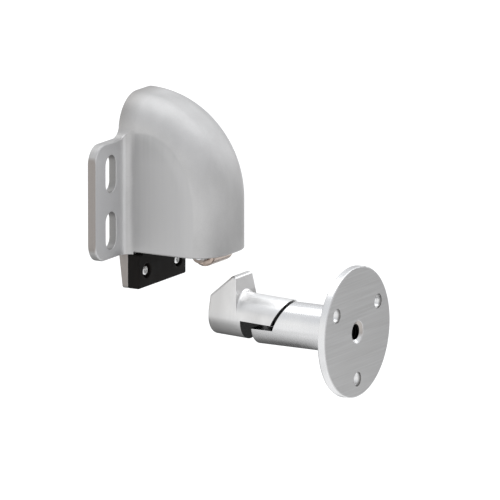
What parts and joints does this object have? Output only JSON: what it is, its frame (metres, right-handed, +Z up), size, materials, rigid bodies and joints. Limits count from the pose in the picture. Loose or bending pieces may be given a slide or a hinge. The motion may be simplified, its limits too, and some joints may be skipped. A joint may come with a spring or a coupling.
{
  "type": "wall door holder",
  "caption": "Automatic wall door holder in satin aluminium: a wall post with a sprung tilting hook, and a door-mounted cast hood with slotted flanges, a rubber bumper and a strike roller.",
  "frame": {"origin": "centre of the wall plate's back face, on the wall", "axes": "+X from the door towards the wall, along the post; +Y across; +Z up"},
  "size_m": [0.1191, 0.1024, 0.1386],
  "materials": {
    "turned_aluminium": "turned and satin polished",
    "satin_casting": "satin, brushed on the flat sides",
    "bumper_rubber": "matt moulded",
    "screw_steel": "bright plated",
    "pin_steel": "ground",
    "spring_steel": "drawn wire",
    "roller_metal": "polished, warm toned"
  },
  "bodies": {
    "fixed": {"wall_post": "turned_aluminium", "pivot_pin": "pin_steel", "hook_spring": "spring_steel", "hood_casting": "satin_casting", "bumper_pad": "bumper_rubber", "pad_screws": "screw_steel", "roller_pin": "pin_steel"},
    "hook": {"hook": "turned_aluminium"},
    "roller": {"strike_roller": "roller_metal"}
  },
  "joints": [
    {"name": "hook_tilt", "type": "hinge", "parent": "fixed", "child": "hook", "pos_m": [-0.031, 0, 0.002], "axis": [0, -1, 0], "range_deg": [0, 6.5], "stiffness_Nm_per_rad": 1.2, "springref_deg": -14.32, "deforming": ["hook_spring"]},
    {"name": "roller_spin", "type": "hinge", "parent": "fixed", "child": "roller", "pos_m": [-0.0796, 0, 0.0312], "axis": [0, 1, 0], "continuous": true}
  ]
}
